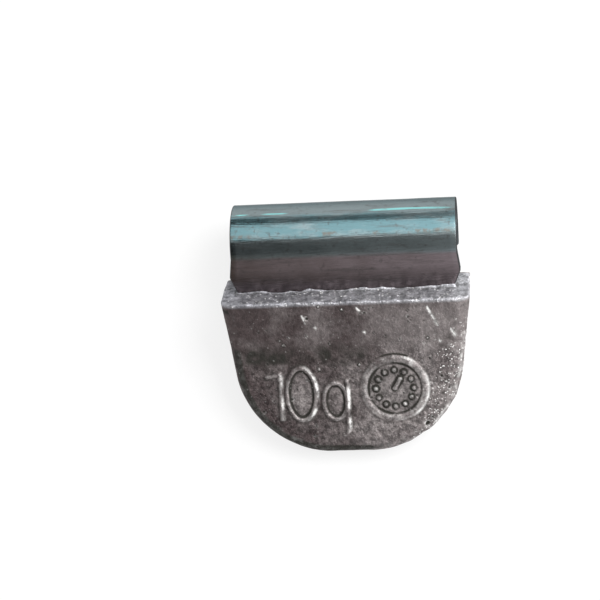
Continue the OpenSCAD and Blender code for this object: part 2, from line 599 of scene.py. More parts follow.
    def meniscus(self, form: np.ndarray, points: np.ndarray) -> np.ndarray:
        """Lets the cast metal climb a little around the clip's foot.

        Args:
            form: distances to the marked form.
            points: rows of upright x, y, z.

        Returns:
            Distances with the climbing rim joined on.
        """
        near = np.flatnonzero(np.abs(points[:, 2]) < self.skin.foot_reach)
        place = points[near]
        half_w = self.sizes.clip_w / 2 - self.sizes.shoulder_w
        half_t = self.sizes.sheet_t / 2
        middle = self.sizes.ledge_front + half_t
        over = np.stack([np.abs(place[:, 0]) - half_w, np.abs(place[:, 1] - middle) - half_t], axis=1)
        gap = np.linalg.norm(np.maximum(over, 0.0), axis=1)
        level, waver = self.skin.foot_climb
        climb = level + waver * self.ragged(place * (1.0, 0.0, 0.0) + 7.0)
        rim = np.maximum(gap - self.skin.foot_gap, place[:, 2] - climb)
        form[near] = soft_min(form[near], rim, self.skin.foot_blend)
        return form

    def casting(self, points: np.ndarray) -> np.ndarray:
        """Distance field of the finished casting."""
        form = self.marked(self.plain_form(points), points)
        return self.flawed(self.meniscus(form, points), points)

    def slope(self, points: np.ndarray, reach: float = 0.02) -> np.ndarray:
        """Slope of the field, which points out of the casting, at rows of points."""
        parts = []
        for axis in np.eye(3) * reach:
            parts.append((self.casting(points + axis) - self.casting(points - axis)) / (2 * reach))
        return np.stack(parts, axis=1)

    def settle(self, points: np.ndarray, rounds: int = 3) -> np.ndarray:
        """Moves points onto the casting's surface along the field's slope.

        Args:
            points: rows near the surface.
            rounds: number of steps.

        Returns:
            Rows on the surface.
        """
        for _ in range(rounds):
            slope = self.slope(points)
            size = np.maximum(np.sum(slope * slope, axis=1), 0.05)
            move = np.clip(self.casting(points) / size, -self.step, self.step)
            points = points - slope * move[:, None]
        return points

    def bulge(self, points: np.ndarray, reach: float) -> np.ndarray:
        """Measures how convex the surface is at rows of points: above 0 on edges, below in hollows."""
        around = -6.0 * self.casting(points)
        for axis in np.eye(3) * reach:
            around = around + self.casting(points + axis) + self.casting(points - axis)
        return around / reach

    def coats(self, points: np.ndarray) -> dict[str, np.ndarray]:
        """Works out the casting's coats: wear, soiling together with painted shade, raised tops, scratches
        together with painted highlights, crumbly skin, a tone with painted light, and the ledge painted
        paler, part cast fin and part painted light.

        Args:
            points: rows on the surface.

        Returns:
            One value from 0 to 1 for each row, by the name of its attribute.
        """
        bands = self.bands
        across, depth, height = points.T
        out, down = self.face_frame(points)
        edge = self.bulge(points, bands.edge_reach)
        patchy = np.clip(0.45 + 1.1 * self.patches(points), 0.0, 1.0)
        mottled = np.clip(0.5 + 0.7 * self.patches(points * 2.3 + 5.0), 0.0, 1.0)
        hub = np.hypot(across - self.dial.centre[0], down - self.dial.centre[1])
        inside = self.mass_mark.wells(across, down) | (hub < self.dial.ring_r)
        gap, beside = (np.min([stroke.distance(across + aside, down) - stroke.radius
                               for stroke in self.strokes], axis=0) for aside in (0.0, bands.flank_step))
        outline = self.outline(points)
        # The ledge's top band, painted paler in the finish: part cast fin, part painted light where the key
        # light falls on it.
        flash = np.clip(1.0 + (height + 0.2) / 0.25, 0.0, 1.0) * (depth < self.sizes.ledge_t - 0.3)
        raised = ramp_up(out, *bands.raised) * (down > 0.4)
        crease = nearness(down, *bands.crease) * ramp_up(across, *bands.crease_fade) * (out < 0.3)
        # Painted shade along the left and lower rim, strongest at the left and fading upwards.
        rim = nearness(outline, *bands.rim) * np.clip(0.6 - across / 5.0, 0.05, 1.0)
        rim *= ramp_up(height, *bands.rim_fade)
        dial = 0.3 * ramp_up(hub, self.dial.ring_r, self.dial.ring_r - bands.dial_fade) * (np.abs(out) < 0.15)
        # Painted shade around the feet of the marks, strongest inside the wells.
        foot = nearness(gap, *bands.mark_foot_shade) * (out < 0.12) * (down > 0.0) * (0.12 + 0.5 * inside)
        beside_mark = np.where((gap < bands.beside_mark) & (down > bands.marks_top), 0.3 + 0.3 * inside, 1.0)
        # dirt: soiling in the hollows, the crease and the dial, together with painted shade along the left
        # and lower rim, under the ledge's edge and around the feet of the marks.
        dirt = np.clip(-edge * 2.6 - 0.06, 0.0, 1.0) * (1.0 - 0.4 * flash) * beside_mark
        dirt += 0.62 * crease * (0.6 + patchy) * (0.5 + mottled) + 3.0 * rim * (0.5 + mottled)
        # Painted shade in a strip under the ledge's edge, broken up in patches.
        dirt += (0.3 + 0.7 * patchy) * nearness(height, *bands.under_ledge_shade) * (np.abs(out) < 0.4)
        dirt += dial * patchy + 0.9 * foot * (0.4 + patchy)
        # Painted highlights on the right flanks of the marks and along the lower right rim, joined to the
        # real scratches.
        flank_highlight = ramp_up(beside - gap, 0.0, bands.flank_step) * nearness(gap, *bands.flank_highlight)
        flank_highlight *= ramp_up(across, *bands.flank_fade)
        flank_highlight *= (down > bands.marks_top) & (out < 0.4) & ~inside
        lip_highlight = nearness(outline, *bands.lip_highlight) * ramp_up(across, *bands.lip_fade) * (height < -3.0)
        fresh = np.max([self.nicked(points), 0.9 * flank_highlight * patchy, 0.55 * lip_highlight * mottled ** 2], axis=0)
        # Tone: lighter towards the right as painted light from the right, and a step lighter on the marked
        # face as painted light; also lighter in the wells and on raised tops, random cloudy patches, and
        # darker towards the bottom.
        tone = 0.34 + across / 18.0 + 0.4 * inside + 0.3 * self.patches(points * 0.5) + 0.15 * raised
        tone += 0.08 * (down > 1.2) - 0.14 * (down > 6.7)
        wear = np.clip(edge - 0.1, 0.0, 1.0) * (1.0 - 0.85 * raised) * (1.0 - 0.9 * flash)
        crumbly = np.maximum(self.coarse_side(points), 0.55 * flash)
        return {"wear": wear, "dirt": dirt, "fresh": fresh, "crumbly": crumbly, "flash": flash,
                "tone": np.clip(tone, 0.0, 1.0), "figured": ramp_up(down, *bands.figured)}

    def crumb_tree(self) -> bpy.types.NodeTree:
        """Builds the Geometry Nodes tree that scatters small crumbs where the casting is crumbly.

        Returns:
            The tree, with inputs for the casting, the density, the radius, the seed and the finish.
        """
        build, given = geometry_tree("casting_crumbs", {
            "Casting": "NodeSocketObject", "Density": "NodeSocketFloat", "Radius": "NodeSocketFloat",
            "Seed": "NodeSocketInt", "Finish": "NodeSocketMaterial"})
        casting = build.add("GeometryNodeObjectInfo", {"Object": given["Casting"]}).outputs["Geometry"]
        crumbly = build.held("crumbly")
        dense = build.times(build.times(crumbly, crumbly), given["Density"])
        spots = build.add("GeometryNodeDistributePointsOnFaces", {"Mesh": casting, "Density": dense,
                                                                  "Seed": given["Seed"]}).outputs
        crumb = build.add("GeometryNodeMeshIcoSphere", {"Radius": given["Radius"], "Subdivisions": 2})
        draw = {"Min": (0.35, 0.35, 0.2), "Max": (1.2, 0.9, 0.6), "Seed": given["Seed"]}
        size = build.add("FunctionNodeRandomValue", draw, data_type="FLOAT_VECTOR")
        placed = build.add("GeometryNodeInstanceOnPoints", {
            "Points": spots["Points"], "Instance": crumb.outputs[0], "Rotation": spots["Rotation"],
            "Scale": size.outputs[0]})
        real = build.add("GeometryNodeRealizeInstances", {"Geometry": placed.outputs[0]})
        smooth = build.add("GeometryNodeSetShadeSmooth", {"Geometry": real.outputs[0]})
        # Random bright spots on the crumbs, partly scraped metal and partly painted sparkle.
        fresh = build.noise(build.add("GeometryNodeInputPosition").outputs[0], 900.0)
        return build.dressed(build.stored(smooth.outputs[0], "fresh", fresh), given["Finish"])

    def crumbs(self, casting: bpy.types.Object, finish: bpy.types.Material) -> bpy.types.Object:
        """Scatters crumbs of the cast fin over the ledge and the coarse side as a plain mesh.

        Args:
            casting: the casting they lie on.
            finish: material of the casting.

        Returns:
            The object, with its place in its vertices.
        """
        inputs = {"Casting": casting, "Density": self.skin.crumb_density, "Radius": self.skin.crumb_r * MM,
                  "Seed": self.skin.seed, "Finish": finish}
        scattered = apply_nodes(self.crumb_tree(), inputs)
        scattered.name = "flash_crumbs"
        return linked("flash_crumbs", scattered)

    def mesh(self) -> bpy.types.Object:
        """Builds the casting as one closed mesh with the attributes of its coats.

        Returns:
            The object, with its place in its vertices.
        """
        low = np.array([-self.sizes.body_w / 2 - self.room, -self.front_room, -self.sizes.body_h - self.room])
        high = np.array([self.sizes.body_w / 2 + self.room, self.sizes.ledge_t + self.room, self.top_room])
        points, quads = surface_net(self.casting, low, high, self.step)
        points = self.settle(points)
        body = mesh_object("cast_body_visual", self.lay.to_frame(points), quads)
        for name, values in self.coats(points).items():
            set_values(body, name, values)
        return body


def surface_net(form: Any, low: np.ndarray, high: np.ndarray, step: float) -> tuple[np.ndarray, np.ndarray]:
    """Draws a closed net of quads where a distance field is 0.

    Args:
        form: function from rows of points to distances.
        low: lowest corner of the box to search.
        high: highest corner of the box.
        step: spacing of the samples.

    Returns:
        Rows of points, and rows of four point numbers that face outwards.
    """
    axes = [np.arange(start, end, step) for start, end in zip(low, high)]
    grid = np.stack(np.meshgrid(*axes, indexing="ij"), axis=-1)
    shape = grid.shape[:3]
    values = form(grid.reshape(-1, 3)).reshape(shape)
    inside = values < 0.0
    steps = list(np.ndindex(2, 2, 2))
    window = [tuple(slice(s, n - 1 + s) for s, n in zip(offset, shape)) for offset in steps]
    filled = sum(inside[part].astype(np.int8) for part in window)
    active = (filled > 0) & (filled < len(steps))
    cells = np.argwhere(active)
    corner = np.stack([values[part][active] for part in window], axis=1)
    total, count = np.zeros((len(cells), 3)), np.zeros(len(cells))
    for first, start in enumerate(steps):
        for second, end in enumerate(steps):
            if second <= first or sum(abs(a - b) for a, b in zip(start, end)) != 1:
                continue
            here, there = corner[:, first], corner[:, second]
            cut = (here < 0.0) != (there < 0.0)
            share = np.where(cut, here / np.where(cut, here - there, 1.0), 0.0)
            total += cut[:, None] * (np.array(start) + share[:, None] * (np.array(end) - np.array(start)))
            count += cut
    points = low + step * (cells + total / count[:, None])
    number = np.full([n - 1 for n in shape], -1)
    number[active] = np.arange(len(cells))
    quads = []
    for axis in range(3):
        one, two = np.eye(3, dtype=int)[(axis + 1) % 3], np.eye(3, dtype=int)[(axis + 2) % 3]
        change = np.diff(inside.astype(np.int8), axis=axis)
        for sign in (-1, 1):
            nodes = np.argwhere(change == sign)
            ring = [number[tuple((nodes - away).T)] for away in (one + two, two, 0 * one, one)]
            quads.append(np.stack(ring if sign < 0 else ring[::-1], axis=1))
    return points, np.concatenate(quads)


def linked(name: str, data: bpy.types.ID) -> bpy.types.Object:
    """Makes an object of a mesh, curve, light or camera and links it to the scene."""
    made = bpy.data.objects.new(name, data)
    bpy.context.scene.collection.objects.link(made)
    return made


def mesh_object(name: str, points: np.ndarray, faces: np.ndarray) -> bpy.types.Object:
    """Makes a smooth-shaded mesh object from points in metres.

    Args:
        name: name of the object.
        points: rows of x, y, z.
        faces: rows of point numbers.

    Returns:
        The linked object.
    """
    mesh = bpy.data.meshes.new(name)
    mesh.from_pydata(points.tolist(), [], faces.tolist())
    mesh.shade_smooth()
    mesh.validate()
    return linked(name, mesh)


def set_values(made: bpy.types.Object, name: str, values: np.ndarray) -> None:
    """Stores one number for each point of a mesh as a named attribute."""
    layer = made.data.attributes.new(name, "FLOAT", "POINT")
    layer.data.foreach_set("value", np.asarray(values, dtype=np.float32))


def cleared(owner: bpy.types.Material | bpy.types.World) -> NodeBuilder:
    """Empties the node tree of a material or a world and returns its builder."""
    owner.use_nodes = True
    owner.node_tree.nodes.clear()
    return NodeBuilder(owner.node_tree)


def geometry_tree(name: str, inputs: dict[str, str]) -> tuple[NodeBuilder, bpy.types.bpy_prop_collection]:
    """Opens a Geometry Nodes tree.

    Args:
        name: name of the tree.
        inputs: socket type of each input by its name.

    Returns:
        The tree's builder, and the sockets of its inputs.
    """
    tree = bpy.data.node_groups.new(name, "GeometryNodeTree")
    for label, kind in inputs.items():
        tree.interface.new_socket(label, in_out="INPUT", socket_type=kind)
    tree.interface.new_socket("Geometry", in_out="OUTPUT", socket_type="NodeSocketGeometry")
    return NodeBuilder(tree), tree.nodes.new("NodeGroupInput").outputs


@dataclass
class NodeBuilder:
    """Adds nodes to a shader, group or Geometry Nodes tree and wires them."""

    tree: bpy.types.NodeTree

    def add(self, kind: str, inputs: dict[str, Any] | None = None, **settings: Any) -> bpy.types.Node:
        """Adds one node.

        Args:
            kind: type name of the node.
            inputs: sockets to link or values to set, by socket identifier.
            settings: properties of the node itself.

        Returns:
            The node.
        """
        node = self.tree.nodes.new(kind)
        for name, value in settings.items():
            setattr(node, name, value)
        for name, value in (inputs or {}).items():
            socket = next(s for s in node.inputs if s.identifier == name)
            if isinstance(value, Socket):
                self.tree.links.new(value, socket)
            else:
                socket.default_value = value
        return node

    def math(self, operation: str, *values: Any, clamp: bool = False) -> Socket:
        """Adds a math node on up to three values and returns its result."""
        names = ("Value", "Value_001", "Value_002")
        inputs = dict(zip(names, values))
        return self.add("ShaderNodeMath", inputs, operation=operation, use_clamp=clamp).outputs[0]

    def times(self, first: Any, second: Any, clamp: bool = False) -> Socket:
        """Multiplies two values and returns the result."""
        return self.math("MULTIPLY", first, second, clamp=clamp)

    def plus(self, first: Any, second: Any, clamp: bool = False) -> Socket:
        """Adds two values and returns the result."""
        return self.math("ADD", first, second, clamp=clamp)

    def minus(self, first: Any, second: Any, clamp: bool = False) -> Socket:
        """Subtracts the second value from the first and returns the result."""
        return self.math("SUBTRACT", first, second, clamp=clamp)

    def larger(self, first: Any, second: Any) -> Socket:
        """Returns the larger of two values."""
        return self.math("MAXIMUM", first, second)

    def off(self, value: Any, middle: float) -> Socket:
        """Returns how far a value lies from a middle."""
        return self.math("ABSOLUTE", self.minus(value, middle))

    def vector(self, x: Any = 0.0, y: Any = 0.0, z: Any = 0.0) -> Socket:
        """Joins three values to a vector and returns it."""
        return self.add("ShaderNodeCombineXYZ", {"X": x, "Y": y, "Z": z}).outputs[0]

    def parts(self, vector: Any) -> bpy.types.bpy_prop_collection:
        """Splits a vector and returns its three values."""
        return self.add("ShaderNodeSeparateXYZ", {"Vector": vector}).outputs

    def shown(self, name: str) -> Socket:
        """Returns a mesh attribute's value in a material."""
        return self.add("ShaderNodeAttribute", attribute_name=name).outputs["Fac"]

    def held(self, name: str) -> Socket:
        """Returns a geometry's named attribute in Geometry Nodes."""
        return self.add("GeometryNodeInputNamedAttribute", {"Name": name}, data_type="FLOAT").outputs[0]

    def stored(self, geometry: Socket, name: str, value: Socket) -> Socket:
        """Stores a value on a geometry's points as a named attribute and returns the geometry."""
        inputs = {"Geometry": geometry, "Name": name, "Value": value}
        node = self.add("GeometryNodeStoreNamedAttribute", inputs, data_type="FLOAT", domain="POINT")
        return node.outputs[0]

    def dressed(self, geometry: Socket, finish: Socket) -> bpy.types.NodeTree:
        """Gives a geometry its finish, wires it to the output and returns the tree."""
        dressed = self.add("GeometryNodeSetMaterial", {"Geometry": geometry, "Material": finish})
        self.tree.links.new(dressed.outputs[0], self.tree.nodes.new("NodeGroupOutput").inputs[0])
        return self.tree

    def surface(self, inputs: dict[str, Any]) -> None:
        """Ends a material in a Principled shader with the given inputs."""
        shader = self.add("ShaderNodeBsdfPrincipled", inputs)
        self.add("ShaderNodeOutputMaterial", {"Surface": shader.outputs[0]})

    def ramp(self, value: Any, low: float, high: float, to_low: float = 0.0, to_high: float = 1.0,
             kind: str = "SMOOTHSTEP") -> Socket:
        """Maps a value from one range to another, with soft ends as a rule, and returns the result."""
        inputs = {"Value": value, "From Min": low, "From Max": high, "To Min": to_low, "To Max": to_high}
        return self.add("ShaderNodeMapRange", inputs, interpolation_type=kind).outputs["Result"]

    def mix(self, share: Any, first: Any, second: Any, blend: str = "MIX") -> Socket:
        """Mixes two colours and returns the result."""
        inputs = {"Factor_Float": share, "A_Color": first, "B_Color": second}
        node = self.add("ShaderNodeMix", inputs, data_type="RGBA", blend_type=blend)
        return next(s for s in node.outputs if s.identifier == "Result_Color")

    def noise(self, vector: Any, scale: Any, detail: float = 3.0, rough: float = 0.55) -> Socket:
        """Adds a noise texture and returns its value."""
        inputs = {"Vector": vector, "Scale": scale, "Detail": detail, "Roughness": rough}
        return self.add("ShaderNodeTexNoise", inputs).outputs[0]

    def stretched(self, vector: Any, scale: tuple[float, float, float]) -> Socket:
        """Scales a vector along its axes and returns it."""
        inputs = {"Vector": vector, "Scale": scale}
        return self.add("ShaderNodeMapping", inputs).outputs[0]


class EffectGroup:
    """Shader node group with named inputs that more than one finish uses."""

    def __init__(self, name: str, inputs: dict[str, float | tuple], outputs: dict[str, str]) -> None:
        """Opens the group with its interface.

        Args:
            name: name of the group.
            inputs: default value of each input; three numbers make a vector, four a colour.
            outputs: socket type of each output.
        """
        self.tree = bpy.data.node_groups.new(name, "ShaderNodeTree")
        self.build = NodeBuilder(self.tree)
        for label, value in inputs.items():
            kind = "NodeSocketFloat"
            if isinstance(value, tuple):
                kind = "NodeSocketVector" if len(value) == 3 else "NodeSocketColor"
            socket = self.tree.interface.new_socket(label, in_out="INPUT", socket_type=kind)
            socket.default_value = value
        for label, kind in outputs.items():
            self.tree.interface.new_socket(label, in_out="OUTPUT", socket_type=kind)
        self.given = self.tree.nodes.new("NodeGroupInput").outputs
        self.result = self.tree.nodes.new("NodeGroupOutput").inputs

    def give(self, **results: Socket) -> None:
        """Wires results to the outputs of the same name."""
        for label, socket in results.items():
            self.tree.links.new(socket, self.result[label])


def use_group(build: NodeBuilder, group: EffectGroup, **inputs: Any) -> bpy.types.bpy_prop_collection:
    """Places an effect group in a finish.

    Args:
        build: builder of the finish's tree.
        group: the effect.
        inputs: values or sockets for its inputs by name.

    Returns:
        The outputs of the placed group.
    """
    node = build.add("ShaderNodeGroup", node_tree=group.tree)
    for label, value in inputs.items():
        if isinstance(value, Socket):
            build.tree.links.new(value, node.inputs[label])
        else:
            node.inputs[label].default_value = value
    return node.outputs


class Effects:
    """Effect groups that the casting and the clip share."""

    def __init__(self) -> None:
        """Builds the groups."""
        self.grain = self.make_grain()
        self.specks = self.make_specks()
        self.grime_and_shade = self.make_grime_and_shade()

    @staticmethod
    def make_grain() -> EffectGroup:
        """Builds a grain of coarse and fine noise, as a bumped normal."""
        group = EffectGroup("surface_grain", {"Place": (0.0, 0.0, 0.0), "Coarse": 900.0, "Fine": 4200.0,
                                              "Share": 0.5, "Depth": 0.00003}, {"Bumped": "NodeSocketVector"})
        build, given = group.build, group.given
        coarse = build.noise(given["Place"], given["Coarse"], 4.0, 0.6)
        fine = build.noise(given["Place"], given["Fine"], 3.0, 0.6)
        height = build.plus(coarse, build.times(build.minus(fine, 0.5), given["Share"]))
        bump = build.add("ShaderNodeBump", {"Height": height, "Distance": given["Depth"], "Strength": 1.0})
        group.give(Bumped=bump.outputs[0])
        return group

    @staticmethod
    def make_specks() -> EffectGroup:
        """Builds scattered round specks of varying size, as a mask."""
        group = EffectGroup("scattered_specks", {"Place": (0.0, 0.0, 0.0), "Density": 800.0, "Size": 0.25,
                                                 "Share": 0.5}, {"Mask": "NodeSocketFloat"})
        build, given = group.build, group.given
        cells = build.add("ShaderNodeTexVoronoi", {"Vector": given["Place"], "Scale": given["Density"]})
        chosen = build.math("LESS_THAN", cells.outputs["Color"], given["Share"])
        wobble = build.times(build.noise(given["Place"], 5000.0), 0.2)
        edge = build.minus(given["Size"], build.plus(cells.outputs["Distance"], wobble))
        group.give(Mask=build.times(build.times(edge, 12.0, clamp=True), chosen))
        return group

    @staticmethod
    def make_grime_and_shade() -> EffectGroup:
        """Builds a darkening film, soiling together with painted shade, that gathers where its Dirt input is
        high.
        """
        group = EffectGroup("grime_film", {"Place": (0.0, 0.0, 0.0), "Base": (0.3, 0.3, 0.3, 1.0),
                                           "Grime": (0.03, 0.025, 0.022, 1.0), "Dirt": 0.0, "Amount": 1.0},
                            {"Tinted": "NodeSocketColor", "Cover": "NodeSocketFloat"})
        build, given = group.build, group.given
        broken = build.plus(build.noise(given["Place"], 1500.0, 5.0, 0.65), 0.25)
        cover = build.times(build.times(given["Dirt"], broken), given["Amount"], clamp=True)
        group.give(Tinted=build.mix(cover, given["Base"], given["Grime"]), Cover=cover)
        return group


@dataclass(frozen=True)
class LeadFinish:
    """Dull as-cast lead alloy: dark oxide, rubbed bright edges and soiling in the hollows, with painted
    shade, painted highlights, painted glint specks and a tone with painted light.

    A texture is the scale, the detail and the roughness of a noise.
    """

    oxide: Colour = (0.105, 0.083, 0.083, 1.0)
    # The paler end of the tone carries painted light from the right; the two ledge colours below are part
    # cast fin and part painted light.
    oxide_paler_and_lit: Colour = (0.36, 0.325, 0.32, 1.0)
    flash: Colour = (0.36, 0.36, 0.39, 1.0)
    flash_and_lit_ledge_paler: Colour = (0.62, 0.62, 0.65, 1.0)
    bright: Colour = (0.95, 0.94, 0.92, 1.0)
    grime_and_shade: Colour = (0.034, 0.032, 0.028, 1.0)
    edge_tint: Colour = (0.3, 0.3, 0.3, 1.0)
    rough: float = 0.48
    metallic: float = 0.7
    clouds: Texture = (300.0, 5.0, 0.65)
    mottle: Texture = (2300.0, 4.0, 0.75)
    rubbing: Texture = (2400.0, 4.0, 0.65)
    scraping: Texture = (1900.0, 4.0, 0.65)

    def make(self, effects: Effects) -> bpy.types.Material:
        """Builds the material.

        Args:
            effects: the shared effect groups.

        Returns:
            The material.
        """
        made = bpy.data.materials.new("cast_lead_alloy_finish")
        build = cleared(made)
        place = build.add("ShaderNodeTexCoord").outputs["Object"]
        tone, flash = build.shown("tone"), build.shown("flash")
        grain = use_group(build, effects.grain, Place=place, Coarse=1100.0, Fine=5200.0, Share=0.8,
                          Depth=0.00011)
        # The tone attribute carries painted light, so the right side and the marked face come out paler.
        clouds = build.ramp(build.noise(place, *self.clouds), 0.3, 0.7, -0.3, 0.3)
        base = build.mix(build.plus(tone, clouds, clamp=True), self.oxide, self.oxide_paler_and_lit)
        # The ledge is painted a paler grey: part cast fin, part painted light.
        base = build.mix(flash, base, build.mix(tone, self.flash, self.flash_and_lit_ledge_paler))
        spread = build.math("MULTIPLY_ADD", build.shown("figured"), 0.35, 0.3)
        spread = build.larger(spread, build.times(flash, 0.6))
        mottle = build.ramp(build.noise(place, *self.mottle), 0.36, 0.64, -0.8, 0.5)
        mottle = build.math("MULTIPLY_ADD", mottle, spread, 1.0)
        base = build.mix(1.0, base, build.vector(mottle, mottle, mottle), "MULTIPLY")
        grimy_and_shaded = use_group(build, effects.grime_and_shade, Place=place, Base=base, Grime=self.grime_and_shade,
                          Dirt=build.shown("dirt"), Amount=1.5)
        # Rubbed edges and scratches bared bright, together with the painted highlights on the marks' right
        # flanks and the lower right rim.
        rubbed = build.times(build.shown("wear"), build.ramp(build.noise(place, *self.rubbing), 0.38, 0.6))
        scraped = build.ramp(build.noise(place, *self.scraping), 0.34, 0.56, 0.3, 1.6)
        bare_and_highlit = build.larger(rubbed, build.times(build.shown("fresh"), scraped, clamp=True))
        # Painted glint: bright specks, mostly on the crumbly skin, that stand in for sparkle.
        painted_glints = use_group(build, effects.specks, Place=place, Density=3300.0, Size=0.34, Share=0.3)["Mask"]
        crumbly = build.math("MULTIPLY_ADD", build.shown("crumbly"), 0.9, 0.14)
        painted_glints = build.times(painted_glints, crumbly, clamp=True)
        pits = use_group(build, effects.specks, Place=place, Density=1500.0, Size=0.16, Share=0.22)["Mask"]
        colour = build.mix(painted_glints, build.mix(bare_and_highlit, grimy_and_shaded["Tinted"], self.bright), self.bright)
        colour = build.mix(build.times(pits, 0.6), colour, self.grime_and_shade)
        # Bared, highlit and glinting places are smoother and less metallic, so the painted highlights render
        # near white.
        bare_and_glinting = build.larger(bare_and_highlit, painted_glints)
        rough = build.minus(self.rough, build.times(bare_and_glinting, 0.25))
        rough = build.plus(rough, build.times(grimy_and_shaded["Cover"], 0.3), clamp=True)
        metal = build.times(build.larger(grimy_and_shaded["Cover"], bare_and_glinting), 0.7)
        metal = build.minus(self.metallic, metal, clamp=True)
        build.surface({"Base Color": colour, "Roughness": rough, "Metallic": metal,
                       "Specular Tint": self.edge_tint, "Normal": grain["Bumped"]})
        return made


@dataclass(frozen=True)
class PassivateFinish:
    """Zinc-plated spring steel with a blue-green passivate, drag lines and rust specks; its colour steps
    along the bend are partly the passivate's tint and partly painted reflections, with a painted highlight
    line.
    """

    # The band colours stand partly for the passivate's tint and partly for painted reflections of the room;
    # the bright greenish one is a painted highlight.
    rise: Colour = (0.33, 0.275, 0.285, 1.0)
    smoky: Colour = (0.29, 0.34, 0.35, 1.0)
    blue: Colour = (0.19, 0.335, 0.37, 1.0)
    pale: Colour = (0.33, 0.42, 0.44, 1.0)
    tan: Colour = (0.24, 0.19, 0.155, 1.0)
    crown_patina_and_painted_reflection: Colour = (0.245, 0.295, 0.305, 1.0)
    painted_highlight_cyan: Colour = (0.32, 0.72, 0.72, 1.0)
    edge_tint: Colour = (0.4, 0.43, 0.44, 1.0)
    dull: Colour = (0.14, 0.13, 0.125, 1.0)
    rust: Colour = (0.16, 0.06, 0.03, 1.0)
    cut_edge: Colour = (0.07, 0.068, 0.07, 1.0)
    steps: tuple[float, float, float] = (8.75, 10.0, 11.75)
    soft: tuple[float, float, float] = (0.2, 0.1, 0.2)
    # Where the painted highlight line lies along the strip, and the parts of the bend it crosses.
    highlight_streak: tuple[float, float] = (11.95, 0.12)
    streak_parts: tuple[tuple[float, float], ...] = ((-8.1, 0.7), (-5.2, 0.8), (5.1, 2.9))
    rust_band: tuple[float, float] = (9.6, 10.4)
    rough: float = 0.2
    lines: Texture = (2900.0, 5.0, 0.75)
    patches: Texture = (520.0, 4.0, 0.65)
    waves: Texture = (900.0, 3.0, 0.6)
    mottle: Texture = (2300.0, 4.0, 0.7)
    breaks: Texture = (2200.0, 5.0, 0.7)
    stains: Texture = (420.0, 5.0, 0.7)

    def make(self, effects: Effects) -> bpy.types.Material:
        """Builds the material.

        Args:
            effects: the shared effect groups.

        Returns:
            The material.
        """
        made = bpy.data.materials.new("passivated_steel_finish")
        build = cleared(made)
        place = build.add("ShaderNodeTexCoord").outputs["Object"]
        along = build.shown("along")
        drawn = build.stretched(place, (0.1, 1.0, 1.0))
        lines = build.noise(drawn, *self.lines)
        patches = build.noise(build.stretched(place, (0.4, 1.0, 1.0)), *self.patches)
        blue = build.mix(build.ramp(patches, 0.38, 0.62), self.blue, self.pale)
        wavy = build.math("MULTIPLY_ADD", build.noise(drawn, *self.waves), 0.5, build.minus(along, 0.25))
        # Colour steps along the strip, partly tint and partly painted reflections: brownish leg, smoky dark
        # band, blue band and darker grey past the crown.
        colour = self.rise
        for middle, half, shade in zip(self.steps, self.soft, (self.smoky, blue, self.crown_patina_and_painted_reflection)):
            colour = build.mix(build.ramp(wavy, middle - half, middle + half), colour, shade)
        colour = build.mix(build.ramp(lines, 0.5, 0.68, 0.0, 0.5), colour, self.dull)
        mottle = build.noise(place, *self.mottle)
        colour = build.mix(build.ramp(mottle, 0.55, 0.7, 0.0, 0.5), colour, self.dull)
        # A painted highlight: a broken bright line across the bend, where a lamp's reflection would lie.
        across = build.times(build.parts(place)[0], 1.0 / MM)
        lit = 0.0
        for centre, half in self.streak_parts:
            lit = build.larger(lit, build.ramp(build.off(across, centre), half + 0.4, half - 0.4))
        breaks = build.noise(build.stretched(place, (0.12, 0.5, 0.5)), *self.breaks)
        lit = build.times(build.ramp(breaks, 0.36, 0.48), lit)
        highlight_streak = build.ramp(build.off(wavy, self.highlight_streak[0]), self.highlight_streak[1], 0.03)
        colour = build.mix(build.times(highlight_streak, lit), colour, self.painted_highlight_cyan)
        stains = build.ramp(build.noise(place, *self.stains), 0.5, 0.62, 0.0, 0.7)
        seam = build.ramp(build.off(wavy, self.steps[1] + 0.2), 0.3, 0.05)
        colour = build.mix(build.times(seam, stains), colour, self.tan)
        # Darker towards where the clip leaves the casting.
        grimy_and_shaded = use_group(build, effects.grime_and_shade, Place=place, Base=colour, Dirt=build.ramp(along, 8.0, 6.9),
                          Amount=0.6)
        spots = use_group(build, effects.specks, Place=place, Density=420.0, Size=0.2, Share=0.2)["Mask"]
        low, high = self.rust_band
        band = build.times(build.ramp(along, low - 0.3, low), build.ramp(along, high + 0.3, high))
        rusty = build.times(spots, build.math("MULTIPLY_ADD", band, 0.85, 0.08))
        cut = build.ramp(build.shown("reach"), 0.988, 0.995)
        colour = build.mix(cut, build.mix(rusty, grimy_and_shaded["Tinted"], self.rust), self.cut_edge)
        grain = use_group(build, effects.grain, Place=drawn, Coarse=1700.0, Fine=7000.0, Share=0.7,
                          Depth=0.000014)
        rough = build.math("MULTIPLY_ADD", build.minus(lines, 0.5), 0.4, self.rough)
        rough = build.plus(rough, build.times(build.larger(rusty, cut), 0.35), clamp=True)
        metal = build.minus(1.0, build.times(rusty, 0.8), clamp=True)
        build.surface({"Base Color": colour, "Roughness": rough, "Metallic": metal,
                       "Specular Tint": self.edge_tint, "Normal": grain["Bumped"]})
        return made


